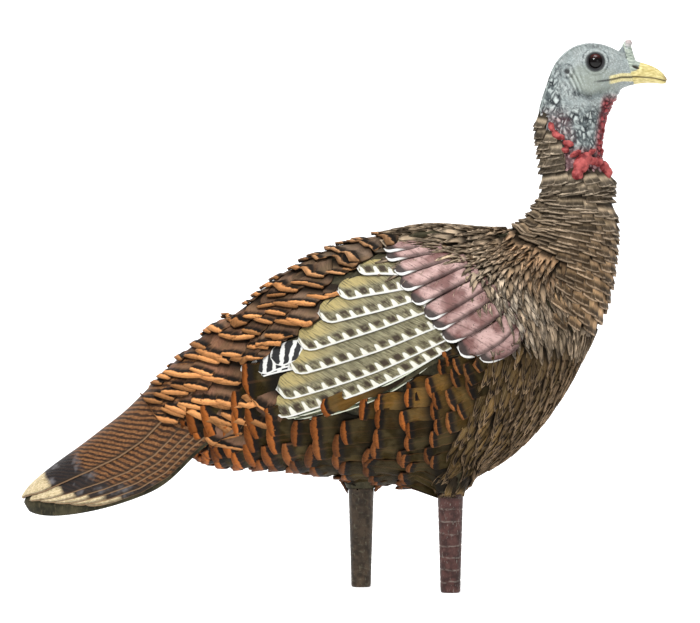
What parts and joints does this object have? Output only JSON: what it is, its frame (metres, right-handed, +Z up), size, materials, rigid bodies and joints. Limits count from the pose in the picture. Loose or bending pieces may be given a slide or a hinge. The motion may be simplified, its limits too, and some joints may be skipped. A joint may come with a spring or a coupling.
{
  "type": "turkey decoy",
  "caption": "Standing hen turkey decoy, a hollow moulded body with wings and tail on push-in legs bored for ground stakes, its head turning and lifting off.",
  "frame": {"origin": "on the ground under the middle of the decoy's length and width", "axes": "+X towards the bill, +Y to the bird's left, +Z up"},
  "size_m": [0.6431, 0.226, 0.5488],
  "materials": {
    "body_plastic": "painted foamed plastic in bronze, brown and black feather colours",
    "wing_plastic": "painted plastic, mauve and olive feathers with white edges",
    "tail_plastic": "painted plastic, rufous with black bars and a buff tip",
    "head_vinyl": "soft satin vinyl, blue-grey",
    "bill_plastic": "satin pale horn yellow",
    "eye_plastic": "glossy black",
    "leg_plastic": "satin dark red-brown, moulded in one colour",
    "nylon": "plain moulded black",
    "steel": "plain zinc-plated",
    "ring_rubber": "matt black"
  },
  "bodies": {
    "body": {"body_shell": "body_plastic", "right_wing": "wing_plastic", "left_wing": "wing_plastic", "tail_fan": "tail_plastic", "tail_screws": "steel", "neck_collar": "nylon", "neck_collar_screws": "steel", "right_leg_socket": "nylon", "left_leg_socket": "nylon"},
    "neck_swivel": {"swivel_cup": "nylon", "swivel_clip": "steel"},
    "head": {"head_shell": "head_vinyl", "bill": "bill_plastic", "head_plug": "nylon", "head_plug_screws": "steel", "head_ring": "ring_rubber", "right_eye": "eye_plastic", "left_eye": "eye_plastic"},
    "right_leg": {"right_leg": "leg_plastic", "right_leg_ring": "ring_rubber", "right_stake_sleeve": "steel"},
    "left_leg": {"left_leg": "leg_plastic", "left_leg_ring": "ring_rubber", "left_stake_sleeve": "steel"}
  },
  "joints": [
    {"name": "head_turn", "type": "hinge", "parent": "body", "child": "neck_swivel", "pos_m": [0.2335, 0, 0.4], "axis": [0, 0, 1], "range_deg": [-75, 75]},
    {"name": "head_lift", "type": "slide", "parent": "neck_swivel", "child": "head", "axis": [0, 0, 1], "range_m": [0, 0.045]},
    {"name": "right_leg_pull", "type": "slide", "parent": "body", "child": "right_leg", "axis": [0, 0, -1], "range_m": [0, 0.045]},
    {"name": "left_leg_pull", "type": "slide", "parent": "body", "child": "left_leg", "axis": [0, 0, -1], "range_m": [0, 0.045]}
  ]
}
